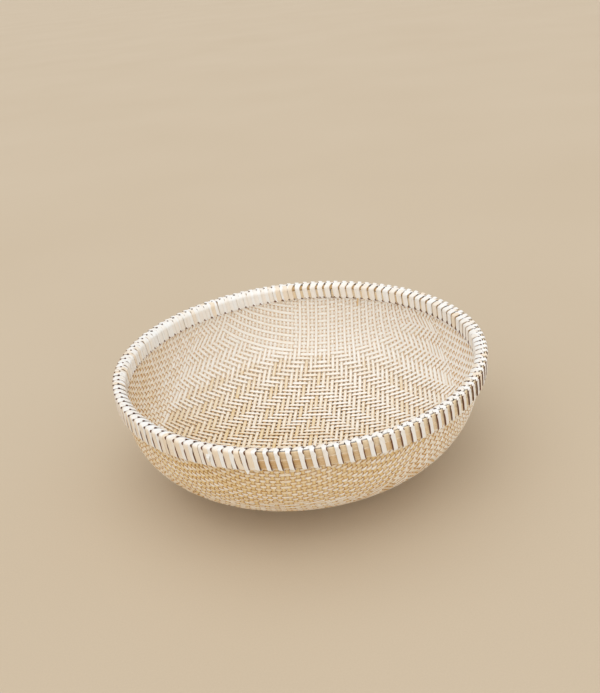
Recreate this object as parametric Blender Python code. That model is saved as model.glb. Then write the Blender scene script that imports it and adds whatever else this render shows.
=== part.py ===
"""Shallow round bamboo basket: a woven bowl whose edge is clamped between hoops and lashed.

The bowl is one shell with a flat resting spot, a nearly upright wall and a row of small
slots under the rim. It waves in and out like the weave, but with fewer and wider crossings
than the real one. Two stacked hoops lie outside the wall and stand above its edge, one hoop
lies inside it, and a filler strip with a sloping top covers the edge. Five flat strips are wound round this bundle, each in one
unbroken length that passes through its own slots in the wall on every turn.
All lengths are in metres, +Z is up, and the origin is the middle of the resting spot.
"""

import math

import bmesh
import bpy
import numpy as np
from mathutils import Matrix, Vector

# Overall sizes
RIM_RADIUS = 0.1500
BASKET_HEIGHT = 0.0950
SEAT_CLEARANCE = 0.0003

# Woven bowl
BOWL_WALL = 0.0022
BASE_CUT = 0.0007
WALL_FULLNESS = 3.2
FLOOR_FULLNESS = 2.7

# Relief of the weave: how far the bowl waves in, where this starts and ends on the floor's
# radius, and how many of the uppermost rings stay plain for the slots and the hoops
WEAVE_RELIEF = 0.0009
RELIEF_START_SHARE = 0.15
RELIEF_FULL_SHARE = 0.40
PLAIN_RINGS = 3

# Rim hoops, and the filler strip on the wall's edge, whose top falls towards the inside
OUTER_HOOP_THICKNESS = 0.0034
UPPER_HOOP_HEIGHT = 0.0068
LOWER_HOOP_HEIGHT = 0.0068
INNER_HOOP_THICKNESS = 0.0024
FILLER_RISE = 0.0043
FILLER_FALL = 0.0023

# Scarf joints: where each ring's two slanted ends meet, and how far the slant runs
SCARF_GAP = 0.0005
SCARF_RUN = 0.0060
UPPER_SCARF_SHARE = 0.57
LOWER_SCARF_SHARE = 0.92
INNER_SCARF_SHARE = 0.21
FILLER_SCARF_SHARE = 0.39

# Lashing strips
LASHING_WIDTH = 0.0040
LASHING_THICKNESS = 0.0008
STRIP_COUNT = 5
WRAPS_PER_STRIP = 24
CORNER_SHARE = 0.35
FIRST_WRAP_DEGREES = 270.0
START_SHARE = 0.75
END_SHARE = 0.25

# Sideways travel at each corner of one wrap, as shares of the pitch
UNDER_OUTER_SHARE = 0.42
OUTER_LOW_SHARE = 0.45
OUTER_HIGH_SHARE = 0.70
CROWN_OUTER_SHARE = 0.68
CROWN_MIDDLE_SHARE = 0.53
INNER_HIGH_SHARE = 0.30
INNER_LOW_SHARE = 0.88

# Mesh density
RING_STEPS = 60
PROFILE_STEPS = 22
GAP_SAMPLES = 4

# Heights of the rim, from the crown of the lashing down
HOOP_TOP = BASKET_HEIGHT - LASHING_THICKNESS - SEAT_CLEARANCE
FILLER_TOP = HOOP_TOP - SEAT_CLEARANCE
FILLER_BASE = FILLER_TOP - FILLER_RISE
FILLER_SHOULDER = FILLER_TOP - FILLER_FALL
WALL_TOP = FILLER_BASE - SEAT_CLEARANCE
UPPER_HOOP_BASE = HOOP_TOP - UPPER_HOOP_HEIGHT
LOWER_HOOP_TOP = UPPER_HOOP_BASE - SEAT_CLEARANCE
BAND_BASE = LOWER_HOOP_TOP - LOWER_HOOP_HEIGHT

# Radii of the rim, from the lashing inwards
HOOP_OUTER = RIM_RADIUS - LASHING_THICKNESS - SEAT_CLEARANCE
HOOP_INNER = HOOP_OUTER - OUTER_HOOP_THICKNESS
BOWL_RADIUS = HOOP_INNER - SEAT_CLEARANCE

COLOURS = {
    "splint": ((0.83, 0.72, 0.53, 1.0), 0.55),
    "hoop": ((0.60, 0.43, 0.24, 1.0), 0.50),
    "filler": ((0.66, 0.50, 0.30, 1.0), 0.55),
    "lashing": ((0.88, 0.85, 0.78, 1.0), 0.45),
}


def clear_scene():
    """Removes every object of the scene."""
    for item in list(bpy.data.objects):
        bpy.data.objects.remove(item, do_unlink=True)


def make_material(name):
    """Returns the material of one kind of bamboo."""
    colour, roughness = COLOURS[name]
    material = bpy.data.materials.new("bamboo_" + name)
    material.use_nodes = True
    shader = material.node_tree.nodes["Principled BSDF"]
    shader.inputs["Base Color"].default_value = colour
    shader.inputs["Roughness"].default_value = roughness
    shader.inputs["Metallic"].default_value = 0.0
    return material


def add_object(name, bm, material):
    """Turns a bmesh into a named object with outward faces and one material."""
    bmesh.ops.recalc_face_normals(bm, faces=bm.faces)
    mesh = bpy.data.meshes.new(name)
    bm.to_mesh(mesh)
    bm.free()
    if material:
        mesh.materials.append(material)
    item = bpy.data.objects.new(name, mesh)
    bpy.context.scene.collection.objects.link(item)
    return item


def shade_round(item, angle):
    """Shades an object smooth, with edges sharper than the angle left crisp."""
    item.data.shade_smooth()
    item.data.set_sharp_from_angle(angle=math.radians(angle))


def bowl_radius_at(height, radius, floor):
    """Returns the radius of a bowl surface at a height, for its greatest radius and its floor."""
    drop = (BASKET_HEIGHT - height) / (BASKET_HEIGHT - floor)
    return radius * (1.0 - drop ** WALL_FULLNESS) ** (1.0 / FLOOR_FULLNESS)


def bowl_profile(radius, floor, low):
    """Returns radius and height pairs up a bowl surface, from the low height to its edge.

    The surface is a superellipse whose greatest radius lies at the crown of the rim. Inside
    the hoops it is straight.
    """
    depth = BASKET_HEIGHT - floor
    first, last = (math.acos(min(1.0, ((BASKET_HEIGHT - height) / depth) ** (WALL_FULLNESS / 2)))
                   for height in (low, BAND_BASE))
    points = []
    for step in range(PROFILE_STEPS + 1):
        angle = first + (last - first) * step / PROFILE_STEPS
        points.append((radius * math.sin(angle) ** (2 / FLOOR_FULLNESS),
                       BASKET_HEIGHT - depth * math.cos(angle) ** (2 / WALL_FULLNESS)))
    points.append((bowl_radius_at(WALL_TOP, radius, floor), WALL_TOP))
    return points


def raised(profile):
    """Returns a profile's points moved inwards by the relief of the weave, where it has any."""
    moved = list(profile)
    for step in range(1, len(profile) - PLAIN_RINGS):
        radius, height = profile[step]
        before, after = Vector(profile[step - 1]), Vector(profile[step + 1])
        along = (after - before).normalized()
        rise = (radius / RIM_RADIUS - RELIEF_START_SHARE) / (RELIEF_FULL_SHARE - RELIEF_START_SHARE)
        reach = WEAVE_RELIEF * min(max(rise, 0.0), 1.0)
        moved[step] = (radius - along.y * reach, height + along.x * reach)
    return moved


def wave(bm, profiles):
    """Moves every second point of a turned shell inwards, so that it waves like a weave.

    The points that move change places from one ring to the next.
    """
    facet = math.tau / RING_STEPS
    points = [(step, here, there) for profile in profiles
              for step, (here, there) in enumerate(zip(profile, raised(profile)))]
    for vert in bm.verts:
        radius = math.hypot(vert.co.x, vert.co.y)
        angle = math.atan2(vert.co.y, vert.co.x)
        step, here, there = min(points, key=lambda point: math.dist(point[1], (radius, vert.co.z)))
        if (round(angle / facet) + step) % 2 and here != there:
            vert.co = (there[0] * math.cos(angle), there[0] * math.sin(angle), there[1])


def make_bowl(material):
    """Builds the woven bowl: a turned shell, open at the top, with a flat resting spot."""
    outside = bowl_profile(BOWL_RADIUS, -BASE_CUT, 0.0)
    inside = bowl_profile(BOWL_RADIUS - BOWL_WALL, BOWL_WALL, BOWL_WALL)
    outline = [(0.0, 0.0)] + outside + inside[::-1]
    bm = bmesh.new()
    verts = [bm.verts.new((radius, 0.0, height)) for radius, height in outline]
    edges = [bm.edges.new(pair) for pair in zip(verts, verts[1:])]
    bmesh.ops.spin(bm, geom=verts + edges, cent=Vector(), axis=Vector((0, 0, 1)), dvec=Vector(),
                   angle=math.tau, steps=RING_STEPS, use_merge=True)
    bmesh.ops.remove_doubles(bm, verts=bm.verts, dist=SEAT_CLEARANCE / 100)
    wave(bm, (outside, inside))
    return add_object("woven_bowl", bm, material)


def sweep(bm, sections):
    """Extrudes the first section through the others, which leaves both ends capped."""
    face = bm.faces.new([bm.verts.new(point) for point in sections[0]])
    corners = list(face.verts)
    for index, section in enumerate(sections[1:]):
        made = bmesh.ops.extrude_face_region(bm, geom=[face])["geom"]
        if index:
            bmesh.ops.delete(bm, geom=[face], context="FACES_ONLY")
        face = next(item for item in made if isinstance(item, bmesh.types.BMFace))
        corners = [min(face.verts, key=lambda vert: (vert.co - corner.co).length) for corner in corners]
        for vert, point in zip(corners, section):
            vert.co = point


def on_facets(radius, angle):
    """Returns the distance from the axis at which a faceted ring of this radius lies."""
    facet = math.tau / RING_STEPS
    return radius * math.cos(facet / 2) / math.cos(angle % facet - facet / 2)


def make_ring(name, outline, scarf_share, material):
    """Bends a strip of the given section round the rim, its slanted ends almost touching.

    The ends are slanted over the height of the section, as a scarf joint is cut. All rings
    share the bowl's facets, so that they lie parallel to it.
    """
    low = min(height for _, height in outline)
    tall = max(height for _, height in outline) - low
    middle = sum(radius for radius, _ in outline) / len(outline)
    facet = math.tau / RING_STEPS
    start = round(scarf_share * RING_STEPS) * facet
    sections = []
    for step in range(RING_STEPS + 1):
        end = (step == 0) - (step == RING_STEPS)
        points = []
        for radius, height in outline:
            slant = abs(end) * SCARF_RUN * ((height - low) / tall - 0.5)
            angle = start + step * facet + (end * SCARF_GAP / 2 + slant) / middle
            reach = on_facets(radius, angle) if end else radius
            points.append(Vector((reach * math.cos(angle), reach * math.sin(angle), height)))
        sections.append(points)
    bm = bmesh.new()
    sweep(bm, sections)
    return add_object(name, bm, material)


def band_outline(inner, outer, low, high):
    """Returns the rectangular section of a hoop as radius and height pairs."""
    return [(inner, low), (outer, low), (outer, high), (inner, high)]


def filler_outline(inner, outer):
    """Returns the section of the filler strip, flat below, with a top that falls inwards."""
    return [(inner, FILLER_BASE), (outer, FILLER_BASE), (outer, FILLER_TOP), (inner, FILLER_SHOULDER)]


def wrap_stations(inner, outer):
    """Returns the corners of one wrap's middle line as radius, height and pitch share."""
    lift = SEAT_CLEARANCE + LASHING_THICKNESS / 2
    cut = lift * CORNER_SHARE
    return [
        (inner - cut, BAND_BASE - lift, 0.0),
        (outer + cut, BAND_BASE - lift, UNDER_OUTER_SHARE),
        (outer + lift, BAND_BASE - cut, OUTER_LOW_SHARE),
        (outer + lift, HOOP_TOP + cut, OUTER_HIGH_SHARE),
        (outer + cut, HOOP_TOP + lift, CROWN_OUTER_SHARE),
        (outer - OUTER_HOOP_THICKNESS - cut, HOOP_TOP + lift, CROWN_MIDDLE_SHARE),
        (inner - lift, FILLER_SHOULDER + lift, INNER_HIGH_SHARE),
        (inner - lift, BAND_BASE - cut, INNER_LOW_SHARE),
    ]


def strip_path(stations, start_radius, end_radius):
    """Returns a whole strip's middle line as radius, height and pitch share."""
    first, second = stations[0], stations[1]

    def on_underside(radius, turn):
        share = (radius - first[0]) / (second[0] - first[0])
        return (radius, first[1], turn + share * second[2])

    path = [on_underside(start_radius, 0)]
    for turn in range(WRAPS_PER_STRIP):
        for radius, height, share in stations[1:]:
            path.append((radius, height, turn + share))
        path.append((first[0], first[1], turn + 1.0))
    path.append(on_underside(end_radius, WRAPS_PER_STRIP))
    return path


def strip_sections(path, first_angle, pitch_angle):
    """Returns the corner points of the flat strip at each station of its path.

    The strip lies flat on the bundle: its thickness follows the bisector of the two runs
    that meet at a station, lengthened so that both runs keep their thickness.
    """
    flat = [Vector((radius, height)) for radius, height, _ in path]
    sections = []
    for index, (radius, height, travel) in enumerate(path):
        before = (flat[index] - flat[max(index - 1, 0)]).normalized()
        after = (flat[min(index + 1, len(flat) - 1)] - flat[index]).normalized()
        along = (before + after).normalized()
        reach = LASHING_THICKNESS / 2 / max(along.dot(after if after.length else before), 0.5)
        out = Vector((along.y, -along.x)) * reach
        angle = first_angle - travel * pitch_angle
        radial = Vector((math.cos(angle), math.sin(angle), 0.0))
        side = Vector((-math.sin(angle), math.cos(angle), 0.0)) * (LASHING_WIDTH / 2)
        centre = radial * radius + Vector((0.0, 0.0, height))
        shift = radial * out.x + Vector((0.0, 0.0, out.y))
        sections.append([centre - side - shift, centre + side - shift, centre + side + shift, centre - side + shift])
    return sections


def least_gap(sections):
    """Returns the least distance between points of a strip that are over half a wrap apart."""
    corners = np.array([[tuple(point) for point in section] for section in sections])
    shares = np.arange(GAP_SAMPLES) / GAP_SAMPLES
    between = corners[:-1, None] + (corners[1:, None] - corners[:-1, None]) * shares[None, :, None, None]
    cloud = between.reshape(-1, corners.shape[1], 3)
    across = cloud[:, :, None] + (np.roll(cloud, -1, axis=1)[:, :, None] - cloud[:, :, None]) * shares[None, None, :, None]
    cloud = across.reshape(len(cloud), -1, 3)
    reach = GAP_SAMPLES * len(wrap_stations(0.0, RIM_RADIUS))
    least = math.inf
    for index in range(0, len(cloud) - reach // 2):
        later = cloud[index + reach // 2:index + reach * 3 // 2].reshape(-1, 3)
        if len(later):
            apart = np.linalg.norm(cloud[index][:, None] - later[None], axis=2)
            least = min(least, float(apart.min()))
    return least


def make_lashing(stations, start_radius, end_radius, material):
    """Winds the strips round the rim one after another and reports their least gap."""
    pitch_angle = math.tau / (STRIP_COUNT * WRAPS_PER_STRIP)
    path = strip_path(stations, start_radius, end_radius)
    strips = []
    for number in range(STRIP_COUNT):
        first_angle = math.radians(FIRST_WRAP_DEGREES) - number * WRAPS_PER_STRIP * pitch_angle
        sections = strip_sections(path, first_angle, pitch_angle)
        bm = bmesh.new()
        sweep(bm, sections)
        strips.append(add_object("lashing_strip_" + str(number + 1), bm, material))
        print("lashing strip", number + 1, "least gap to itself in mm:", round(least_gap(sections) * 1000, 3))
    return strips


def make_slot_cutter(stations, wall_inner, wall_outer):
    """Builds one closed block for each slot, turned to lie along the strip that passes it."""
    under, far = stations[0], stations[1]
    middle = (wall_inner + wall_outer) / 2
    share = under[2] + (far[2] - under[2]) * (middle - under[0]) / (far[0] - under[0])
    pitch_angle = math.tau / (STRIP_COUNT * WRAPS_PER_STRIP)
    slope = math.atan2((far[2] - under[2]) * pitch_angle * middle, far[0] - under[0])
    size = (
        (wall_outer - wall_inner + BOWL_WALL) / math.cos(slope),
        LASHING_WIDTH * math.cos(slope) + 2 * SEAT_CLEARANCE,
        LASHING_THICKNESS + 2 * SEAT_CLEARANCE,
    )
    bm = bmesh.new()
    for number in range(STRIP_COUNT * WRAPS_PER_STRIP):
        angle = math.radians(FIRST_WRAP_DEGREES) - (number + share) * pitch_angle
        place = (Matrix.Rotation(angle, 4, "Z") @ Matrix.Translation((middle, 0.0, under[1]))
                 @ Matrix.Rotation(-slope, 4, "Z") @ Matrix.Diagonal((*size, 1.0)))
        bmesh.ops.create_cube(bm, size=1.0, matrix=place)
    cutter = add_object("slot_cutter", bm, None)
    cutter.hide_render = True
    cutter.display_type = "WIRE"
    return cutter


def cut(item, cutter):
    """Cuts one object with another by a Boolean that stays live."""
    modifier = item.modifiers.new("slots", "BOOLEAN")
    modifier.operation = "DIFFERENCE"
    modifier.solver = "EXACT"
    modifier.object = cutter


def main():
    """Builds the basket from the bowl outwards."""
    clear_scene()
    splint, hoop, filler, lashing = (make_material(name) for name in ("splint", "hoop", "filler", "lashing"))

    # The inner hoop follows the narrowest wall inside the band
    wall_inner = bowl_radius_at(BAND_BASE, BOWL_RADIUS - BOWL_WALL, BOWL_WALL)
    inner_hoop_outer = wall_inner - SEAT_CLEARANCE
    inner_hoop_inner = inner_hoop_outer - INNER_HOOP_THICKNESS

    bowl = make_bowl(splint)
    rings = [
        make_ring("outer_hoop_upper", band_outline(HOOP_INNER, HOOP_OUTER, UPPER_HOOP_BASE, HOOP_TOP),
                  UPPER_SCARF_SHARE, hoop),
        make_ring("outer_hoop_lower", band_outline(HOOP_INNER, HOOP_OUTER, BAND_BASE, LOWER_HOOP_TOP),
                  LOWER_SCARF_SHARE, hoop),
        make_ring("inner_hoop", band_outline(inner_hoop_inner, inner_hoop_outer, BAND_BASE, WALL_TOP),
                  INNER_SCARF_SHARE, hoop),
        make_ring("rim_filler", filler_outline(inner_hoop_inner, BOWL_RADIUS), FILLER_SCARF_SHARE, filler),
    ]

    stations = wrap_stations(inner_hoop_inner * math.cos(math.pi / RING_STEPS), HOOP_OUTER)
    start_radius = inner_hoop_inner + INNER_HOOP_THICKNESS * START_SHARE
    end_radius = inner_hoop_inner + INNER_HOOP_THICKNESS * END_SHARE
    strips = make_lashing(stations, start_radius, end_radius, lashing)
    cut(bowl, make_slot_cutter(stations, wall_inner, BOWL_RADIUS))

    shade_round(bowl, 35)
    for item in rings + strips:
        shade_round(item, 30)


main()
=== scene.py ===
import logging
import math
from dataclasses import dataclass, field
from enum import Enum
from typing import NamedTuple

import bmesh
import bpy
import numpy as np
from mathutils import Matrix, Vector


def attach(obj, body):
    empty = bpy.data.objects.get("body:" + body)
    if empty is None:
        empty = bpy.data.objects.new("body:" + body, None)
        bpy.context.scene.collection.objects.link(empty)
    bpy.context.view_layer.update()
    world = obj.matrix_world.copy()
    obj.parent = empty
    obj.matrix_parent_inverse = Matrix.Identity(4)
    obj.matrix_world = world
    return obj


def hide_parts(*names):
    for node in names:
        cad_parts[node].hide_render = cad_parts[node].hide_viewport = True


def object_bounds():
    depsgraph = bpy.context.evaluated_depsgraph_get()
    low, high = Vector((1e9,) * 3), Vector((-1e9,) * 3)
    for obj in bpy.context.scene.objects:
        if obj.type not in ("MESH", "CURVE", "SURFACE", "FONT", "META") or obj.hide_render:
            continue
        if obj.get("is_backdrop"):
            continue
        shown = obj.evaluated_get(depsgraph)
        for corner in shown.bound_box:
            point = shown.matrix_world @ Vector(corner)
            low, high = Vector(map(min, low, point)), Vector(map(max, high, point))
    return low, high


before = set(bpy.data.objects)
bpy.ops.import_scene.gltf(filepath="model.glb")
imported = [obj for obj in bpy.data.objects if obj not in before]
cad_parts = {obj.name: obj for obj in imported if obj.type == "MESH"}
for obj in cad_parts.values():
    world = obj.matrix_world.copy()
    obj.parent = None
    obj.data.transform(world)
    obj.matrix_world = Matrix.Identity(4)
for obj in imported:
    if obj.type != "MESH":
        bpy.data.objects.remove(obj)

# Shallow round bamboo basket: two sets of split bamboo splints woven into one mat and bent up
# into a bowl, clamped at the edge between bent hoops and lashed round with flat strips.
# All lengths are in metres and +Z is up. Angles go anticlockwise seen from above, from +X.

Array = np.ndarray
Colour = tuple[float, float, float, float]
Span = tuple[float, float]

log = logging.getLogger("basket")
CAD_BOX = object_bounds()
FIBRE = "fibre"
PAINTED_SHADE = "skin"
NOISE_MIDDLE = 0.5


def colour(code: str) -> Colour:
    """Turns a hex colour as seen on a screen into linear light.

    Args:
        code: Six hex digits.

    Returns:
        The colour with an alpha of one.
    """
    parts = [int(code[index:index + 2], 16) / 255 for index in (0, 2, 4)]
    red, green, blue = (part / 12.92 if part <= 0.04045 else ((part + 0.055) / 1.055) ** 2.4
                        for part in parts)
    return (red, green, blue, 1.0)


def ease(value: Array | float, low: float, high: float) -> Array:
    """Rises smoothly from 0 at the low value to 1 at the high one.

    Args:
        value: The values to ease.
        low: Where the rise begins.
        high: Where it ends.

    Returns:
        The eased shares.
    """
    share = np.clip((np.asarray(value, float) - low) / (high - low), 0.0, 1.0)
    return share * share * (3.0 - 2.0 * share)


def nearness(angle: Array, degrees: float) -> Array:
    """The cosine of how far each angle round the rim is from one given in degrees."""
    return np.cos(angle - math.radians(degrees))


# ---------------------------------------------------------------------------
# Shader maths
# ---------------------------------------------------------------------------


class Value:
    """A number that varies over a surface; arithmetic on it adds Math nodes."""

    def __init__(self, web: "Web", socket: bpy.types.NodeSocket) -> None:
        """Keeps the web of nodes and the socket the number comes from."""
        self.web = web
        self.socket = socket

    def _math(self, operation: str, *terms: "Value | float") -> "Value":
        """Adds one Math node.

        Args:
            operation: The node's operation.
            terms: Its inputs in order.

        Returns:
            The node's result.
        """
        node = self.web.add("ShaderNodeMath", {"operation": operation}, dict(enumerate(terms)))
        return Value(self.web, node.outputs[0])

    def __add__(self, other: "Value | float") -> "Value":
        """Adds."""
        return self._math("ADD", self, other)

    __radd__ = __add__

    def __sub__(self, other: "Value | float") -> "Value":
        """Subtracts."""
        return self._math("SUBTRACT", self, other)

    def __rsub__(self, other: "Value | float") -> "Value":
        """Subtracts this from a number."""
        return self._math("SUBTRACT", other, self)

    def __mul__(self, other: "Value | float") -> "Value":
        """Multiplies."""
        return self._math("MULTIPLY", self, other)

    __rmul__ = __mul__

    def __abs__(self) -> "Value":
        """Drops the sign."""
        return self._math("ABSOLUTE", self)

    def clamped(self) -> "Value":
        """Keeps the number between 0 and 1."""
        node = self.web.add("ShaderNodeClamp", {}, {"Value": self})
        return Value(self.web, node.outputs[0])

    def eased(self, low: float, high: float) -> "Value":
        """Rises smoothly from 0 at the low value to 1 at the high one.

        Args:
            low: Where the rise begins.
            high: Where it ends.

        Returns:
            The eased share.
        """
        node = self.web.add("ShaderNodeMapRange", {"interpolation_type": "SMOOTHSTEP"},
                            {"Value": self, "From Min": low, "From Max": high})
        return Value(self.web, node.outputs[0])


class Web:
    """The nodes of one material."""

    def __init__(self, name: str) -> None:
        """Starts a material that holds a Principled shader."""
        self.material = bpy.data.materials.new(name)
        self.material.use_nodes = True
        self.tree = self.material.node_tree
        self.shader = self.tree.nodes["Principled BSDF"]

    def add(self, kind: str, settings: dict | None = None, inputs: dict | None = None) -> bpy.types.Node:
        """Adds a node.

        Args:
            kind: The node's type.
            settings: Its properties, or the stops of its ramp, set first.
            inputs: Values, or what is linked, by socket name or number.

        Returns:
            The node.
        """
        node = self.tree.nodes.new(kind)
        for key, setting in (settings or {}).items():
            setattr(node, key, setting)
        self.feed(node, inputs or {})
        return node

    def feed(self, node: bpy.types.Node, inputs: dict) -> None:
        """Sets a node's sockets.

        Args:
            node: The node.
            inputs: Values, or what is linked, by socket name or number.
        """
        for key, given in inputs.items():
            socket = node.inputs[key]
            if isinstance(given, Value):
                self.tree.links.new(given.socket, socket)
            elif isinstance(given, bpy.types.NodeSocket):
                self.tree.links.new(given, socket)
            else:
                socket.default_value = given

    def fibre(self) -> tuple[Value, Value, Value]:
        """Reads the strip's own coordinates: metres along it, its half widths across, and its tone."""
        given = self.add("ShaderNodeAttribute", {"attribute_name": FIBRE, "attribute_type": "GEOMETRY"})
        split = self.add("ShaderNodeSeparateXYZ", {}, {0: given.outputs["Vector"]})
        along, across, tone = (Value(self, split.outputs[index]) for index in range(3))
        return along, across, tone

    def skin(self) -> Value:
        """Reads how much painted shade the strip gets there."""
        given = self.add("ShaderNodeAttribute", {"attribute_name": PAINTED_SHADE, "attribute_type": "GEOMETRY"})
        return Value(self, given.outputs["Fac"])

    def vector(self, *parts: Value | float) -> bpy.types.NodeSocket:
        """Joins three numbers into a vector."""
        return self.add("ShaderNodeCombineXYZ", {}, dict(enumerate(parts))).outputs[0]

    def noise(self, where: bpy.types.NodeSocket, scale: float, detail: float = 2.0, rough: float = 0.5) -> Value:
        """Adds a noise.

        Args:
            where: The vector it is read at.
            scale: How many features fit one unit.
            detail: How many finer layers it has.
            rough: How strong these are.

        Returns:
            The noise, from about 0.25 to 0.75.
        """
        node = self.add("ShaderNodeTexNoise", {"noise_dimensions": "3D"},
                        {"Vector": where, "Scale": scale, "Detail": detail, "Roughness": rough})
        return Value(self, node.outputs[0])

    def blend(self, share: Value, low: "Colour | bpy.types.NodeSocket",
              high: "Colour | bpy.types.NodeSocket") -> bpy.types.NodeSocket:
        """Mixes two colours.

        Args:
            share: How much of the second shows.
            low: The first colour.
            high: The second colour.

        Returns:
            The mixed colour.
        """
        node = self.add("ShaderNodeMix", {"data_type": "RGBA", "clamp_factor": True})
        self.feed(node, {0: share, 6: low, 7: high})
        return node.outputs[2]

    def finish(self, base: bpy.types.NodeSocket, roughness: Value, relief: Value, height: float,
               strength: float) -> bpy.types.Material:
        """Feeds the shader and returns the material.

        Args:
            base: The colour.
            roughness: The roughness.
            relief: The height of the fine relief, from 0 to 1.
            height: What one unit of it measures.
            strength: How much of it shows.

        Returns:
            The material.
        """
        bump = self.add("ShaderNodeBump", {}, {"Strength": strength, "Distance": height, "Height": relief})
        self.feed(self.shader, {"Base Color": base, "Roughness": roughness, "Normal": bump.outputs[0]})
        return self.material


@dataclass(frozen=True)
class BambooFinish:
    """Split bamboo: fibres run along the strip, and the edges take an edge colour. On the splints it
    is partly the raw edges' own golden colour and partly painted shade between the splints; on the
    lashing and the filler the edges are darker; on the hoops it is a paler painted highlight along
    their upper and lower edges.

    The tone of a strip runs from 0, pale, to 1, tan. Fibre lengths and widths are in metres.
    Clouds are counted to the metre along the strip and to its half width across it, and specks to
    the metre. A span is where a share begins to show and where it is whole. The strip factors
    give strips of different tones their own streaks, clouds and specks.
    """

    name: str
    pale: str
    tan: str
    edge: str
    fleck: str
    fibre_length: float = 0.016
    fibre_width: float = 0.00022
    streak_share: float = 0.34
    streak_gain: float = 2.6
    clouds: tuple[float, float] = (38.0, 0.6)
    cloud_share: float = 0.9
    specks: tuple[float, float] = (420.0, 2600.0)
    fleck_span: Span = (0.66, 0.76)
    fleck_share: float = 0.35
    strip_factors: tuple[float, float, float] = (31.0, 53.0, 71.0)
    edge_from: float = 0.62
    edge_to: float = 1.02
    edge_share: float = 0.55
    edge_tone: float = 0.6
    edge_evenness: float = 0.75
    edge_clouds: float = 1.6
    roughness: float = 0.50
    streak_roughness: float = 0.35
    edge_roughness: float = 0.12
    relief: float = 0.00006
    relief_strength: float = 0.35
    half_width: float = 0.0014
    # Painted shade: a dark colour blended in where the mesh marks a hole, gap or groove in shade.
    skin: str | None = None
    painted_shade_between: bool = False
    painted_shade_across: Span = (0.50, 0.98)
    painted_shade_clouds: float = 0.5
    painted_shade_span: Span = (0.55, 0.80)

    def material(self) -> bpy.types.Material:
        """Builds the material.

        Returns:
            The material.
        """
        web = Web(self.name)
        along, across, tone = web.fibre()
        wide = across * self.half_width
        for_streaks, for_clouds, for_specks = (tone * factor for factor in self.strip_factors)
        fibres = web.vector(along * (1 / self.fibre_length), wide * (1 / self.fibre_width), for_streaks)
        streaks = web.noise(fibres, 1.0, detail=3.0, rough=0.62)
        cloudy = web.vector(along * self.clouds[0], across * self.clouds[1], for_clouds)
        clouds = web.noise(cloudy, 1.0, detail=2.0, rough=0.55)
        specks = web.noise(web.vector(along * self.specks[0], wide * self.specks[1], for_specks), 1.0, detail=1.0)
        streaked, clouded = streaks - NOISE_MIDDLE, clouds - NOISE_MIDDLE
        drift = streaked * (self.streak_gain * self.streak_share) + clouded * self.cloud_share
        body = web.blend((tone + drift).clamped(), colour(self.pale), colour(self.tan))
        speckled = web.blend(specks.eased(*self.fleck_span) * self.fleck_share, body, colour(self.fleck))
        # Edge colour: on the splints partly the raw edges' own colour and partly painted shade between them, on the
        # hoops a painted highlight along their upper and lower edges.
        rim = abs(across).eased(self.edge_from, self.edge_to) * self.edge_share * (tone + self.edge_tone).clamped()
        uneven = (self.edge_evenness + clouded * self.edge_clouds).clamped()
        edged = web.blend(rim * uneven, speckled, colour(self.edge))
        rough = (self.roughness + streaked * self.streak_roughness + rim * self.edge_roughness).clamped()
        # Painted shade in holes, gaps and grooves; with the between setting it is strongest midway between two
        # stations, near the strip's edges.
        if self.skin:
            kept = web.skin()
            if self.painted_shade_between:
                kept = (1.0 - abs(kept * 2.0 - 1.0)) * abs(across).eased(*self.painted_shade_across)
            shown = (kept + clouded * self.painted_shade_clouds).eased(*self.painted_shade_span)
            edged = web.blend(shown, edged, colour(self.skin))
        return web.finish(edged, rough, streaks, self.relief, self.relief_strength)


class Finish(Enum):
    """The finishes of the basket's pieces."""

    # The dark colour given for painted shade darkens each finish's holes, gaps and grooves.
    SPLINT = BambooFinish("split_bamboo", "fbfaf5", "e6cb94", "d0962f", "9a6a22", edge_from=0.42, edge_share=0.72,
                          skin="4c2a02", painted_shade_between=True)
    SPLINT_SIDE = BambooFinish("split_side", "dcaf50", "b07e2c", "c08c3a", "8a5c1c", fibre_width=0.00012,
                               skin="3a2008", painted_shade_between=True)
    # The hoops' pale edge colour is a painted highlight along their upper and lower edges.
    HOOP = BambooFinish("bent_hoop", "f2dfbe", "cba570", "fff4e0", "a07a48", fibre_length=0.030,
                        fibre_width=0.00030, edge_from=0.80, edge_share=0.95, streak_share=0.42, roughness=0.48,
                        half_width=0.0034, skin="3a2008")
    FILLER = BambooFinish("rim_filler", "d2b07c", "a98250", "8c6536", "7a5128", fibre_length=0.024,
                          fibre_width=0.00030, half_width=0.0044, skin="3a2210")
    WRAP = BambooFinish("lashing_strip", "f5f5f3", "efdfc8", "c3a27a", "a98a66", fibre_length=0.012,
                        fibre_width=0.00034, edge_from=0.84, edge_share=0.30, streak_share=0.16, fleck_share=0.18,
                        roughness=0.42, half_width=0.0018, skin="66340a")


# ---------------------------------------------------------------------------
# Shapes
# ---------------------------------------------------------------------------


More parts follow.
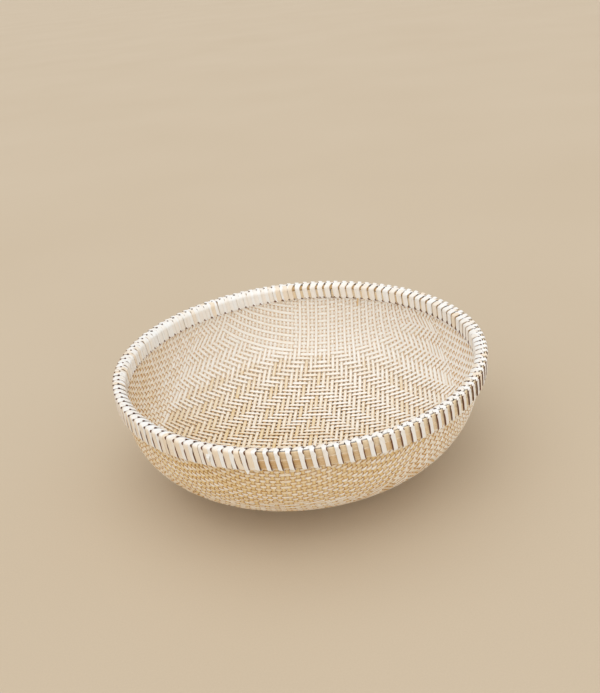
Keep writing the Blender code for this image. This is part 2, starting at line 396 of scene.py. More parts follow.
class Ribbons:
    """Collects bent strips in one mesh. Each starts as a flat grid and is bent to its points."""

    def __init__(self) -> None:
        """Starts an empty mesh with the strips' own coordinates."""
        self.bm = bmesh.new()
        self.fibre = self.bm.verts.layers.float_vector.new(FIBRE)
        self.skin = self.bm.verts.layers.float.new(PAINTED_SHADE)

    def strip(self, points: Array, along: Array, across: Array, tone: float | Array,
              skin: Array | None = None) -> None:
        """Adds one strip.

        Args:
            points: Its points, by station, then across it.
            along: The distance along it at each station.
            across: The place across it, from -1 to 1, of each column of points.
            tone: Its tone, from 0 to 1, or one for each station.
            skin: How much painted shade each point gets, if any.
        """
        stations, wide = points.shape[:2]
        made = bmesh.ops.create_grid(self.bm, x_segments=stations - 1, y_segments=wide - 1, size=0.5)["verts"]
        tones = np.broadcast_to(tone, (stations,))
        for index, vert in enumerate(made):
            column, station = divmod(index, stations)
            vert.co = points[station, column]
            vert[self.fibre] = (float(along[station]), float(across[column]), float(tones[station]))
            if skin is not None:
                vert[self.skin] = float(skin[station, column])

    def piece(self, name: str, finish: Finish, thickness: float, side: Finish | None = None) -> bpy.types.Object:
        """Ends the mesh and gives the strips their thickness.

        Args:
            name: The piece's name.
            finish: Its finish.
            thickness: How thick the strips are.
            side: The finish of their cut sides, if it differs.

        Returns:
            The piece.
        """
        made = as_object(name, self.bm, finish, *([side] if side else []))
        solid = made.modifiers.new("thickness", "SOLIDIFY")
        solid.thickness = thickness
        solid.offset = 0.0
        solid.material_offset_rim = 1 if side else 0
        return made


MADE: dict[Finish, bpy.types.Material] = {}


def as_object(name: str, bm: bmesh.types.BMesh, *finishes: Finish) -> bpy.types.Object:
    """Turns a bmesh into a dressed object that rides on the part.

    Args:
        name: The object's name.
        bm: Its mesh, which is freed.
        finishes: Its finish, and a second one for its cut sides if these differ.

    Returns:
        The object.
    """
    mesh = bpy.data.meshes.new(name)
    bm.to_mesh(mesh)
    bm.free()
    for finish in finishes:
        if finish not in MADE:
            MADE[finish] = finish.value.material()
        mesh.materials.append(MADE[finish])
    made = bpy.data.objects.new(name, mesh)
    bpy.context.scene.collection.objects.link(made)
    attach(made, "root")
    return made


@dataclass(frozen=True)
class RimSizes:
    """The rim's own sizes and the heights and radii that follow from them."""

    radius: float = 0.1500
    height: float = 0.0950
    strip: float = 0.0008
    seat: float = 0.0003
    outer_hoop: float = 0.0034
    hoop_height: float = 0.00635
    settled: float = 0.0010
    hoop_lip: float = 0.0017
    hoop_taper: float = 0.0028
    inner_hoop: float = 0.0013
    filler_rise: float = 0.0043
    filler_fall: float = 0.0023
    wall: float = 0.0022
    wall_narrowing: float = 0.0003

    @property
    def hoop_top(self) -> float:
        """The height of the upper outer hoop's upper edge."""
        return self.height - self.strip - self.seat - self.settled

    @property
    def filler_top(self) -> float:
        """The height of the filler strip's outer, higher edge."""
        return self.hoop_top - self.seat

    @property
    def filler_base(self) -> float:
        """The height of the filler strip's underside."""
        return self.filler_top - self.filler_rise

    @property
    def shoulder(self) -> float:
        """The height of the filler strip's inner, lower edge."""
        return self.filler_top - self.filler_fall

    @property
    def wall_top(self) -> float:
        """The height of the woven wall's cut edge and of the inner hoop's upper edge."""
        return self.filler_base - self.seat

    @property
    def joint(self) -> float:
        """The height of the lower edge of the upper hoop."""
        return self.hoop_top - self.hoop_height

    @property
    def band_base(self) -> float:
        """The height of the hoops' lower edge."""
        return self.joint - self.seat - self.hoop_height

    @property
    def hoop_outer(self) -> float:
        """The outer hoops' outer radius."""
        return self.radius - self.strip - self.seat

    @property
    def hoop_inner(self) -> float:
        """The outer hoops' inner radius."""
        return self.hoop_outer - self.outer_hoop

    @property
    def wall_middle(self) -> float:
        """The radius of the middle of the woven wall at the rim."""
        return self.hoop_inner - self.seat - self.wall / 2

    @property
    def inner_outer(self) -> float:
        """The inner hoop's outer radius."""
        return self.wall_middle - self.wall / 2 - self.wall_narrowing - self.seat

    @property
    def inner_inner(self) -> float:
        """The inner hoop's inner radius."""
        return self.inner_outer - self.inner_hoop


@dataclass
class BowlSurface:
    """The middle surface of the woven bowl, a superellipse turned about the upright axis.

    Below the lean's top the body leans to the left under its rim, most at the floor.
    """

    rim_radius: float
    rim_height: float
    floor_height: float = 0.0011
    wall_fullness: float = 3.2
    floor_fullness: float = 2.7
    lean: float = 0.0035
    lean_top: float = 0.080
    steps: int = 3000
    slope_step: float = 0.0006
    arc: Array = field(init=False, repr=False)
    radius: Array = field(init=False, repr=False)
    height: Array = field(init=False, repr=False)

    def __post_init__(self) -> None:
        """Lays out the profile by its length from the middle of the floor."""
        turn = np.linspace(0.0, math.pi / 2, self.steps + 1)
        self.radius = self.rim_radius * np.sin(turn) ** (2 / self.floor_fullness)
        depth = self.rim_height - self.floor_height
        self.height = self.rim_height - depth * np.clip(np.cos(turn), 0.0, 1.0) ** (2 / self.wall_fullness)
        runs = np.hypot(np.diff(self.radius), np.diff(self.height))
        self.arc = np.concatenate([[0.0], np.cumsum(runs)])

    def arc_at(self, height: float) -> float:
        """The length along the profile up to a height."""
        return float(np.interp(height, self.height, self.arc))

    def stretch(self, arc: Array) -> Array:
        """How much wider a flat ring at this length is than the ring it becomes on the bowl."""
        arc = np.maximum(np.abs(arc), self.arc[1])
        return arc / np.interp(arc, self.arc, self.radius)

    def settle(self, flat: Array, lift: Array) -> Array:
        """Bends flat points on to the bowl.

        Args:
            flat: Their places on the flattened bowl, with the floor's middle at zero.
            lift: How far each lies inside the surface.

        Returns:
            The bent points.
        """
        arc = np.hypot(flat[..., 0], flat[..., 1])
        angle = np.arctan2(flat[..., 1], flat[..., 0])
        over = np.maximum(arc - self.arc[-1], 0.0)
        radius = np.interp(arc, self.arc, self.radius)
        height = np.interp(arc, self.arc, self.height) + over
        after, before = arc + self.slope_step, arc - self.slope_step
        rise = np.interp(after, self.arc, self.height) - np.interp(before, self.arc, self.height)
        run = np.interp(after, self.arc, self.radius) - np.interp(before, self.arc, self.radius)
        rise = np.where(over > 0.0, 1.0, rise)
        run = np.where(over > 0.0, 0.0, run)
        size = np.maximum(np.hypot(rise, run), 1e-9)
        radius = radius - lift * rise / size
        leaned = radius * np.cos(angle) - self.lean * np.clip(1.0 - height / self.lean_top, 0.0, 1.0)
        return np.stack([leaned, radius * np.sin(angle), height + lift * run / size], axis=-1)


@dataclass(frozen=True)
class SplintSet:
    """One of the two crossing sets: its splints' places across the mat and their own pitch.

    The rank counts the splints outwards from the mirror line of the twill, or upwards from a
    given cross splint.
    """

    places: Array
    pitches: Array
    ranks: Array


@dataclass
class WovenMat:
    """The mat before and after it is bent: long splints run to and fro, cross splints left and right.

    The floor is a twill, over three and under three, mirrored about one line. On the far and near
    walls every second long splint stays on the inside and the others weave in and out, but on the
    left of the far wall every second cross splint stays inside. The side walls and the near
    corners are plain weave. Reaches are places on the mat, and a draw is how far the long splints
    are drawn together.
    """

    rim: RimSizes
    turn_degrees: float = -8.98
    mirror: float = 0.00665
    left_reach: float = 0.1301
    right_reach: float = 0.1341
    far_reach: float = 0.1285
    near_reach: float = 0.1280
    corner_reach: float = 0.150
    wide_row: float = 0.0187
    long_pitch: float = 0.00445
    side_pitch: float = 0.00290
    cross_pitch: float = 0.00504
    far_pitch: float = 0.00365
    near_pitch: float = 0.00272
    floor_edge: float = 0.108
    wall_edge: float = 0.136
    far_draw: float = 0.10
    far_draw_span: Span = (0.095, 0.155)
    near_draw: float = 0.22
    near_draw_span: Span = (0.095, 0.150)
    draw_limit: float = 1.6
    reach: float = 0.232
    twill_count: int = 3
    splint_width: float = 0.00285
    width_shares: Span = (0.93, 1.05)
    tightness: float = 0.84
    near_tightness: float = 0.74
    thickness: float = 0.00070
    weave_lift: float = 0.00042
    edge_drop: float = 0.00022
    flat_share: float = 0.66
    over_share: float = 0.30
    wander: float = 0.00010
    wander_bends: Span = (24, 60)
    wander_ratio: float = 2.3
    roll: float = 0.035
    trim: float = 0.0004
    fewest_stations: int = 4
    fibre_starts: Span = (0.0, 3.0)
    stripe_from: float = -0.104
    stripe_to: float = -0.0225
    tone_share: float = 0.7
    tone_odds: tuple[float, float] = (1.5, 4.5)
    long_tone: float = 0.18
    # Tones by zone; the left wall's cross splints are painted tanner as shade.
    near_wall_tone: float = 0.30
    left_wall_tone: float = 0.12
    floor_tone: float = 0.13
    other_wall_tone: float = -0.18
    floor_tone_margin: float = 0.018
    # Painted light: the splints are painted paler towards the far right.
    painted_light_slope: float = 2.5
    painted_light_way: tuple[float, float] = (0.5, 0.85)
    seed: int = 7
    surface: BowlSurface = field(init=False)
    long_set: SplintSet = field(init=False)
    cross_set: SplintSet = field(init=False)

    def __post_init__(self) -> None:
        """Lays out both sets of splints."""
        self.surface = BowlSurface(self.rim.wall_middle, self.rim.height)
        right = self._rank(self.mirror + self.long_pitch / 2, self.side_pitch, 1)
        left = self._rank(self.mirror - self.long_pitch / 2, self.side_pitch, -1)
        self.long_set = SplintSet(*(np.concatenate([left_part[::-1], right_part])
                                    for left_part, right_part in zip(left, right)))
        far = self._rank(self.wide_row, self.far_pitch, 1, self.cross_pitch)
        near = self._rank(self.wide_row - self.cross_pitch, self.near_pitch, -1, self.cross_pitch)
        near = (near[0], near[1], -1 - near[2])
        self.cross_set = SplintSet(*(np.concatenate([near_part[::-1], far_part])
                                     for near_part, far_part in zip(near, far)))

    def _rank(self, start: float, wall_pitch: float, way: int,
              floor_pitch: float | None = None) -> tuple[Array, Array, Array]:
        """Sets splints side by side from a first one outwards.

        Args:
            start: Where the first lies.
            wall_pitch: Their pitch on the wall.
            way: 1 or -1, for the way they go.
            floor_pitch: Their pitch on the floor, if not the long splints' own.

        Returns:
            Their places, pitches and ranks.
        """
        floor_pitch = floor_pitch or self.long_pitch
        places, pitches = [], []
        place = start
        while abs(place) < self.reach:
            share = float(ease(abs(place), self.floor_edge, self.wall_edge))
            pitch = floor_pitch + (wall_pitch - floor_pitch) * share
            places.append(place)
            pitches.append(pitch)
            place += way * pitch
        return np.array(places), np.array(pitches), np.arange(len(places))

    def spread(self, long_place: Array, cross_place: Array) -> Array:
        """Turns places on the mat into places on the flattened bowl.

        Both sets keep their pitch as they climb, so rings that shrink on the bowl push them apart
        here. The long splints are drawn together a little on the far wall and more on the near one.

        Args:
            long_place: The place across the long splints.
            cross_place: The place across the cross splints.

        Returns:
            The flat points.
        """
        far = self.far_draw * ease(cross_place, *self.far_draw_span)
        near = self.near_draw * ease(-cross_place, *self.near_draw_span)
        edge = self.surface.arc[-1]
        outwards = np.minimum((long_place / edge) ** 2, self.draw_limit)
        drawn = long_place * (1.0 - (far + near) * (1.0 - outwards))
        flat_x = drawn * self.surface.stretch(cross_place)
        flat_y = cross_place * self.surface.stretch(drawn)
        turn = math.radians(self.turn_degrees)
        return np.stack([flat_x * math.cos(turn) - flat_y * math.sin(turn),
                         flat_x * math.sin(turn) + flat_y * math.cos(turn)], axis=-1)

    def long_inside(self, long_place: Array, long_rank: Array, cross_place: Array, cross_rank: Array) -> Array:
        """Tells where the long splint lies on the inside of the bowl.

        Args:
            long_place: The long splints' places.
            long_rank: Their ranks from the mirror line.
            cross_place: The cross splints' places.
            cross_rank: Their ranks.

        Returns:
            True where the long splint is on the inside.
        """
        twill = (long_rank + cross_rank) % (2 * self.twill_count) >= self.twill_count
        brick = (long_rank % 2 == 1) | ((long_rank // 2 + cross_rank) % 2 == 0)
        plain = (long_rank + cross_rank) % 2 == 0
        stripes = cross_rank % 2 == 0
        on_floor = ((long_place > -self.left_reach) & (long_place < self.right_reach)
                    & (cross_place > -self.near_reach) & (cross_place < self.far_reach))
        striped = (cross_place >= self.far_reach) & (long_place > self.stripe_from) & (long_place < self.stripe_to)
        near_corner = (cross_place < 0.0) & (np.hypot(long_place, cross_place) > self.corner_reach)
        on_floor &= ~near_corner
        at_side = (long_place <= -self.left_reach) | (long_place >= self.right_reach) | near_corner
        on_wall = np.where(striped, stripes, np.where(at_side, plain, brick))
        return np.where(on_floor, twill, on_wall)

    def weave(self, ribbons: Ribbons, own: SplintSet, other: SplintSet, index: int, is_long: bool,
              chance: np.random.Generator) -> int:
        """Weaves one splint through the other set.

        Args:
            ribbons: Where it is added.
            own: Its own set.
            other: The set it crosses.
            index: Which splint of its set it is.
            is_long: Whether it is a long splint.
            chance: The source of small irregularities.

        Returns:
            How many lengths of it lie on the bowl.
        """
        place, rank = own.places[index], own.ranks[index]
        tight = self.near_tightness if not is_long and place < -self.near_reach else self.tightness
        half = min(self.splint_width * chance.uniform(*self.width_shares), own.pitches[index] * tight) / 2
        if is_long:
            inside = self.long_inside(place, rank, other.places, other.ranks)
        else:
            inside = ~self.long_inside(other.places, other.ranks, place, rank)
        side = np.repeat(np.where(inside, 1.0, -1.0), 2)
        shift = other.pitches * self.over_share
        stations = np.stack([other.places - shift, other.places + shift], axis=1).ravel()
        phase, slow = chance.uniform(0, math.tau, 2), chance.uniform(*self.wander_bends, 2)
        wander = self.wander * (np.sin(stations * slow[0] + phase[0])
                                + np.sin(stations * slow[1] * self.wander_ratio + phase[1]))
        floats = np.cumsum(np.concatenate([[0], np.diff(side) != 0]))
        roll = chance.normal(0.0, self.roll, floats[-1] + 1)[floats]
        across = np.array([-1.0, -self.flat_share, self.flat_share, 1.0])
        drop = np.array([self.edge_drop, 0.0, 0.0, self.edge_drop])
        own_place = place + wander[:, None] + across[None, :] * half
        cross_place = np.broadcast_to(stations[:, None], own_place.shape)
        lift = side[:, None] * (self.weave_lift - drop[None, :]) + np.tan(roll)[:, None] * across * half
        flat = self.spread(own_place, cross_place) if is_long else self.spread(cross_place, own_place)
        points = self.surface.settle(flat, lift)
        centre = flat[:, 1:3].mean(axis=1)
        limit = self.surface.arc_at(self.rim.wall_top - self.trim)
        kept = np.flatnonzero(np.hypot(centre[:, 0], centre[:, 1]) < limit)
        tone = self.tone_share * chance.beta(*self.tone_odds) + (self.long_tone if is_long else 0.0)
        tones, hole_shade = self.dye(float(np.clip(tone, 0.0, 1.0)), place, other, centre, is_long)
        hole_shade = np.broadcast_to(hole_shade[:, None], own_place.shape)
        start = chance.uniform(*self.fibre_starts)
        lengths = np.split(kept, np.flatnonzero(np.diff(kept) > 1) + 1) if len(kept) else []
        added = 0
        for run in lengths:
            if len(run) >= self.fewest_stations:
                ribbons.strip(points[run], stations[run] + start, across, tones[run], hole_shade[run])
                added += 1
        return added

    def dye(self, tone: float, place: float, other: SplintSet, centre: Array, is_long: bool) -> tuple[Array, Array]:
        """Colours one splint by where it lies, partly as painted light and shade. The cross splints on the
        left wall are painted tanner as shade, and all splints are painted paler towards the far right as
        light; the long splints on the near wall and the splints on the floor are tanner, those on the
        other walls paler. Painted shade darkens the holes between the floor's crossings.

        Args:
            tone: The splint's own tone.
            place: Its place on the mat.
            other: The set it crosses.
            centre: The flat points along its middle.
            is_long: Whether it is a long splint.

        Returns:
            Its tone and the painted shade's share at each station.
        """
        if is_long:
            beyond, beyond_tone = other.places < -self.near_reach, self.near_wall_tone
        else:
            beyond, beyond_tone = other.places < -self.left_reach, self.left_wall_tone
        on_floor = np.hypot(other.places, place) < self.floor_edge + self.floor_tone_margin
        # Tones by zone: on the left wall the cross splints are painted tanner as shade.
        zones = np.where(beyond, beyond_tone, np.where(on_floor, self.floor_tone, self.other_wall_tone))
        # Painted light: paler towards the far right.
        paler = self.painted_light_slope * (self.painted_light_way[0] * centre[:, 0] + self.painted_light_way[1] * centre[:, 1])
        # Painted shade in the holes between the floor's crossings, strongest midway between one crossing and the
        # next.
        skin = np.where(on_floor, np.arange(len(on_floor)) % 2, 0)
        return np.clip(tone + np.repeat(zones, 2) - paler, 0.0, 1.0), np.repeat(skin, 2)

    def build(self) -> None:
        """Weaves both sets, each in two pieces, which stand for the solid bowl."""
        chance = np.random.default_rng(self.seed)
        for is_long, own, other, names in (
            (True, self.long_set, self.cross_set, ("long_splints_left", "long_splints_right")),
            (False, self.cross_set, self.long_set, ("cross_splints_near", "cross_splints_far")),
        ):
            for name, wanted in zip(names, (own.places < 0.0, own.places >= 0.0)):
                ribbons = Ribbons()
                added = sum(self.weave(ribbons, own, other, index, is_long, chance)
                            for index in np.flatnonzero(wanted))
                piece = ribbons.piece(name, Finish.SPLINT, self.thickness, Finish.SPLINT_SIDE)
                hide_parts("woven_bowl")
                log.info("%s: %d lengths of splint", name, added)


@dataclass
class BentRing:
    """A bent strip of bamboo with two tapered ends and growth nodes.

    The outline holds radius and height pairs round the strip's section, and the shaded points are
    the corners of it that get painted shade: the groove of the upper hoop's tapered top, and the
    filler's outer top where it shows through the gaps of the lashing. The ring is palest at one
    angle and its painted shade is darkest at another.
    """

    name: str
    outline: list[tuple[float, float]]
    joint_degrees: float
    finish: Finish
    tone: float
    steps: int = 240
    whole_turn: float = math.tau * 0.999
    lap: float = 0.020
    end_share: float = 0.5
    node_gap: float = 0.235
    node_length: float = 0.0022
    node_swell: float = 0.00035
    node_tone: float = 0.5
    waver: float = 0.00018
    waver_counts: tuple[int, ...] = (3, 7, 13)
    palest_degrees: float = 325.0
    paler_share: float = 0.80
    darkest_degrees: float = 280.0
    dark_middle: float = 0.86
    dark_swing: float = 0.14
    shaded_points: tuple[int, ...] = ()
    worn_width: float = 0.0003
    worn_degrees: float = 40.0
    seed: int = 1

    def build(self) -> bpy.types.Object:
        """Sweeps the section round the rim.

        Returns:
            The ring.
        """
        chance = np.random.default_rng(self.seed)
        outline = np.array(self.outline)
        middle = outline.mean(axis=0)
        start = math.radians(self.joint_degrees)
        lap = self.lap / middle[0]
        bm = bmesh.new()
        fibre = bm.verts.layers.float_vector.new(FIBRE)
        skin = bm.verts.layers.float.new(PAINTED_SHADE)
        section = [bm.verts.new((radius, 0.0, height)) for radius, height in outline]
        face = bm.faces.new(section)
        bmesh.ops.spin(bm, geom=[face, *face.edges, *section], cent=Vector(), axis=Vector((0, 0, 1)),
                       dvec=Vector(), angle=self.whole_turn, steps=self.steps)
        bm.verts.ensure_lookup_table()
        phases = chance.uniform(0, math.tau, len(self.waver_counts))
        sides = np.linalg.norm(outline - middle, axis=1)
        half_tall = (outline[:, 1].max() - outline[:, 1].min()) / 2
        palest, darkest = math.radians(self.palest_degrees), math.radians(self.darkest_degrees)
        for vert in bm.verts:
            radius = math.hypot(vert.co.x, vert.co.y)
            angle = math.atan2(vert.co.y, vert.co.x) % math.tau
            nearest = int(np.argmin(np.hypot(outline[:, 0] - radius, outline[:, 1] - vert.co.z)))
            travel = angle * middle[0]
            taper = min(angle, self.whole_turn - angle) / lap
            thin = self.end_share + (1.0 - self.end_share) * min(1.0, taper)
            waves = sum(math.sin(angle * count + phase) for count, phase in zip(self.waver_counts, phases))
            bend = self.waver * waves / 4
            node = math.exp(-(((travel % self.node_gap) - self.node_gap / 2) / self.node_length) ** 2)
            swell = 1.0 + node * self.node_swell / max(sides[nearest], 1e-6)
            radius = middle[0] + (radius - middle[0]) * thin * swell
            height = middle[1] + (vert.co.z - middle[1]) * swell + bend
            turned = angle + start
            vert.co = (radius * math.cos(turned), radius * math.sin(turned), height)
            across = (outline[nearest, 1] - middle[1]) / half_tall
            paler = self.paler_share * max(0.0, math.cos(turned - palest)) ** 3
            vert[fibre] = (travel, across, min(1.0, self.tone + self.node_tone * node - paler))
            # Painted shade at the shaded points, darkest at one angle round the rim.
            dark = self.dark_middle + self.dark_swing * math.cos(turned - darkest)
            vert[skin] = dark if nearest in self.shaded_points else 0.0
        bmesh.ops.recalc_face_normals(bm, faces=bm.faces)
        made = as_object(self.name, bm, self.finish)
        edge = made.modifiers.new("worn_edges", "BEVEL")
        edge.width = self.worn_width
        edge.segments = 1
        edge.limit_method = "ANGLE"
        edge.angle_limit = math.radians(self.worn_degrees)
        return made


class Route(Enum):
    """The ways a lashing strip goes round the rim."""

    ALL_ROUND = "outside the outer hoops"
    BEHIND = "between the wall and the outer hoops, and across the crown"
    OUTSIDE = "flat outside the outer hoops, and across the crown"


class Corner(NamedTuple):
    """One corner of a lashing turn. Its travel along the rim is counted in pitches, and its painted shade darkens the
    gaps beside and under the strip there.
    """

    radius: float
    height: float
    travel: float
    skin: float = 0.0
    tone: float = 0.0


@dataclass
class Lashing:
    """A flat strip wound round the rim in one length.

    Angles in degrees say where round the rim something is strongest. With a middle and a swing it
    rises and falls round the whole rim, and with a share and a span of cosines it stays near that
    angle: the left strips lie beside the main ones there, and the right ones are wider. Painted
    shade stands for the dark gaps beside and under the strips and at their corners. Shade of more
    than the lasting share is as dark all round the rim, and a seam says how much of it each line
    along the strip gets, from one edge to the other.
    """

    rim: RimSizes
    name: str
    first_degrees: float
    turns: int
    route: Route
    finish: Finish
    width: float = 0.0036
    width_shares: Span = (0.92, 1.05)
    bed: float = 0.00008
    sink: float = 0.0
    cross_over: float = 0.00034
    shown_thickness: float = 0.7
    lifted_edge: float = 0.00030
    lifted_share: float = 0.6
    raised: tuple[float, float, float] = (-0.00002, 0.00010, 0.00020)
    across: tuple[float, ...] = (-1.0, -0.4, 0.4, 1.0)
    pitch_count: int = 120
    lean: float = 0.035
    slack: float = 0.00012
    corner_radius: float = 0.0013
    corner_steps: int = 3
    corner_share: float = 0.42
    beside_degrees: float = 140.0
    beside_span: Span = (0.55, 0.75)
    beside_share: float = 0.46
    wider_degrees: float = 25.0
    wider_span: Span = (0.45, 0.65)
    wider_share: float = 0.28
    inner_span: Span = (0.0, 0.0030)
    # Painted shade of the dark gaps beside and under the strips and at their corners: its strength round the rim, and
    # the seams that spread it from edge to edge.
    lasting_shade: float = 1.15
    shade_degrees: float = 325.0
    shade_middle: float = 0.80
    shade_swing: float = 0.46
    crown_degrees: float = 280.0
    crown_middle: float = 0.78
    crown_swing: float = 0.22
    front_seam_degrees: float = 335.0
    front_seam_span: Span = (0.64, 0.74)
    front_seam: tuple[float, ...] = (1.2, 0.38, 0.0, 0.0)
    main_seam: tuple[float, ...] = (0.0, 0.0, 0.34, 1.1)
    cross_seam: tuple[float, ...] = (1.0, 0.12, 0.0, 0.0)
    inner_seam: tuple[float, ...] = (0.0, 0.0, 0.0, 0.5)
    inner_seam_span: Span = (0.0010, 0.0030)
    tones: Span = (0.0, 0.25)
    odd_tones: Span = (0.55, 1.0)
    odd_share: float = 0.10
    corner_tone: float = 0.75
    fibre_starts: Span = (0.0, 2.0)
    seed: int = 3

    def corners(self) -> list[Corner]:
        """Lays out the corners of one turn.

        Returns:
            The corners in winding order, from the underside outwards and over the crown.
        """
        rim = self.rim
        lift = rim.strip * self.shown_thickness / 2 + self.bed - self.sink
        base, crown, within = rim.band_base - lift, rim.hoop_top + lift, rim.inner_inner - lift
        out = rim.hoop_outer + lift
        # A corner's fourth number is its painted shade, for the dark gaps beside and under the strip there.
        start = Corner(rim.inner_inner, base, 0.22)
        if self.route is Route.ALL_ROUND:
            return [
                start,
                Corner(rim.hoop_outer, base, 0.43, 0.2),
                Corner(out, rim.band_base, 0.46, 0.95),
                Corner(out + 0.0001, rim.joint, 0.59, 1.0),
                Corner(out, rim.hoop_top - 0.0018, 0.67, 0.50),
                Corner(out, rim.hoop_top - 0.0003, 0.70, 1.3),
                Corner(rim.hoop_outer, crown, 0.71, 1.2),
                Corner(rim.hoop_outer - 0.0010, crown, 0.72),
                Corner(rim.hoop_inner + 0.0010, crown, 0.72),
                Corner(rim.hoop_inner - 0.0003, crown - 0.0001, 0.72, 2.6),
                Corner(rim.hoop_inner - 0.0016, crown - 0.0005, 0.71),
                Corner(within, rim.shoulder + lift, 0.64, 0.55),
                Corner(within, rim.band_base + 0.0020, 0.81, 0.55),
                Corner(within, rim.band_base, 0.88, 2.3),
            ]
        above = within - self.cross_over
        down = [
            Corner(rim.hoop_inner - 0.0002, crown, 1.06, 1.3),
            Corner(rim.hoop_inner - 0.0018, crown - 0.0002, 0.93),
            Corner(above, rim.shoulder + lift + self.cross_over, 0.66, 0.50),
            Corner(above, rim.band_base + 0.0020, 0.83, 0.50),
            Corner(above, rim.band_base, 0.89, 2.0),
        ]
        if self.route is Route.BEHIND:
            slot = rim.hoop_inner - 0.0001
            return [
                start,
                Corner(slot, base, 0.60),
                Corner(slot, rim.hoop_top - rim.hoop_taper, 1.15),
                Corner(rim.hoop_outer - rim.hoop_lip - 0.0006, rim.hoop_top + 0.0001, 1.26),
                *down,
            ]
        return [
            start,
            Corner(rim.hoop_outer, base, 0.93, tone=1.0),
            Corner(out, rim.band_base, 0.96, tone=1.0),
            Corner(out, rim.joint, 1.09, tone=1.0),
            Corner(out, rim.hoop_top - 0.0009, 1.18, tone=1.0),
            Corner(rim.hoop_outer - 0.0004, rim.hoop_top - 0.0001, 1.22, tone=0.4),
            Corner(rim.hoop_outer - rim.hoop_lip, rim.hoop_top + 0.0001, 1.27),
            *down,
        ]

    def path(self) -> Array:
        """Rounds the corners and joins the turns.

        Returns:
            Radius, height, travel, painted shade and extra tone at each station.
        """
        corners = np.array(self.corners())
        points = np.concatenate([corners + (0.0, 0.0, turn, 0.0, 0.0) for turn in range(self.turns)])
        points = np.concatenate([points, corners[:1] + (0.0, 0.0, self.turns, 0.0, 0.0)])
        out = [points[0]]
        for before, here, after in zip(points[:-2], points[1:-1], points[2:]):
            back, ahead = before - here, after - here
            back_cut = min(self.corner_radius / np.hypot(*back[:2]), self.corner_share)
            ahead_cut = min(self.corner_radius / np.hypot(*ahead[:2]), self.corner_share)
            for step in range(self.corner_steps + 1):
                share = step / self.corner_steps
                first = here + back * back_cut * (1 - share)
                second = here + ahead * ahead_cut * share
                out.append(first + (second - first) * share)
        out.append(points[-1])
        return np.array(out)

    def outwards(self, path: Array) -> Array:
        """Finds the strip's outer side.

        Args:
            path: The stations of the path.

        Returns:
            The way out of the bundle at each station, as a change of radius and of height.
        """
        ahead = np.diff(path[:, :2], axis=0)
        ahead /= np.maximum(np.linalg.norm(ahead, axis=1, keepdims=True), 1e-9)
        along = np.concatenate([ahead[:1], ahead[:-1] + ahead[1:], ahead[-1:]])
        along /= np.maximum(np.linalg.norm(along, axis=1, keepdims=True), 1e-9)
        return np.stack([along[:, 1], -along[:, 0]], axis=1)

    def painted_gap_shade(self, path: Array, angle: Array) -> Array:
        """Spreads the painted shade of the corners across the strip, for the dark gaps beside and under it.

        The main strips get it on one edge at the front right and on the other elsewhere. The
        cross strips get it on one edge, and on both on the rim's inner face.

        Args:
            path: The stations of the path.
            angle: The angle round the rim at each station.

        Returns:
            The painted shade's share at each point of each station.
        """
        places, heights, _, shades, _ = path.T
        fading = shades < self.lasting_shade
        broad = np.where(fading, self.shade_middle + self.shade_swing * nearness(angle, self.shade_degrees), 1.0)
        crown = self.crown_middle + self.crown_swing * nearness(angle, self.crown_degrees)
        broad *= np.where(heights > self.rim.shoulder, crown, 1.0)
        # Painted shade of the gap under a main strip's raised edge: on one edge at the front right, on the other
        # elsewhere.
        if self.route is Route.ALL_ROUND:
            front = ease(nearness(angle, self.front_seam_degrees), *self.front_seam_span)
            front = np.where(fading, front, 0.0)[:, None]
            seam = front * np.array(self.front_seam) + (1.0 - front) * np.array(self.main_seam)
        else:
            inside = ease(self.rim.hoop_inner - places, *self.inner_seam_span)[:, None]
            seam = np.array(self.cross_seam) + inside * np.array(self.inner_seam)
        return (shades * broad)[:, None] * seam

    def build(self, *nodes: str) -> bpy.types.Object:
        """Winds the strip.

        Args:
            nodes: The solids that it stands for.

        Returns:
            The strip.
        """
        chance = np.random.default_rng(self.seed)
        path = self.path()
        places, heights, travels, _, extra_tones = path.T
        pitch = math.tau / self.pitch_count
        turn = np.clip(travels.astype(int), 0, self.turns)
        lean = chance.normal(0.0, self.lean, self.turns + 1)[turn]
        slack = np.abs(chance.normal(0.0, self.slack, self.turns + 1))[turn]
        angle = math.radians(self.first_degrees) - (travels + lean) * pitch
        inner = ease(self.rim.hoop_inner - places, *self.inner_span)
        half = self.width / 2 * chance.uniform(*self.width_shares, self.turns + 1)[turn]
        if self.route is Route.OUTSIDE:
            angle -= self.beside_share * pitch * ease(nearness(angle, self.beside_degrees), *self.beside_span) * inner
        elif self.route is Route.BEHIND:
            half *= 1.0 + self.wider_share * ease(nearness(angle, self.wider_degrees), *self.wider_span) * inner
        across = np.array(self.across)
        lifted = self.lifted_share * self.lifted_edge
        away = slack[:, None] + np.array([*self.raised, lifted]) + (across + 1) / 2 * lifted
        out = self.outwards(path)
        radius = places[:, None] + out[:, 0, None] * away
        height = heights[:, None] + out[:, 1, None] * away
        turned = angle[:, None] + across[None, :] * half[:, None] / places[:, None]
        points = np.stack([radius * np.cos(turned), radius * np.sin(turned), height], axis=-1)
        odd = chance.random(self.turns + 1) < self.odd_share
        tones = np.where(odd, chance.uniform(*self.odd_tones, self.turns + 1),
                         chance.uniform(*self.tones, self.turns + 1))[turn] + self.corner_tone * extra_tones
        steps = np.linalg.norm(np.diff(points.mean(axis=1), axis=0), axis=1)
        distance = np.concatenate([[0.0], np.cumsum(steps)]) + chance.uniform(*self.fibre_starts)
        ribbons = Ribbons()
        ribbons.strip(points, distance, across, tones, self.painted_gap_shade(path, angle))
        made = ribbons.piece(self.name, self.finish, self.rim.strip * self.shown_thickness)
        if nodes:
            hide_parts(*nodes)
        log.info("%s: %d turns, %s", self.name, self.turns, self.route.value)
        return made


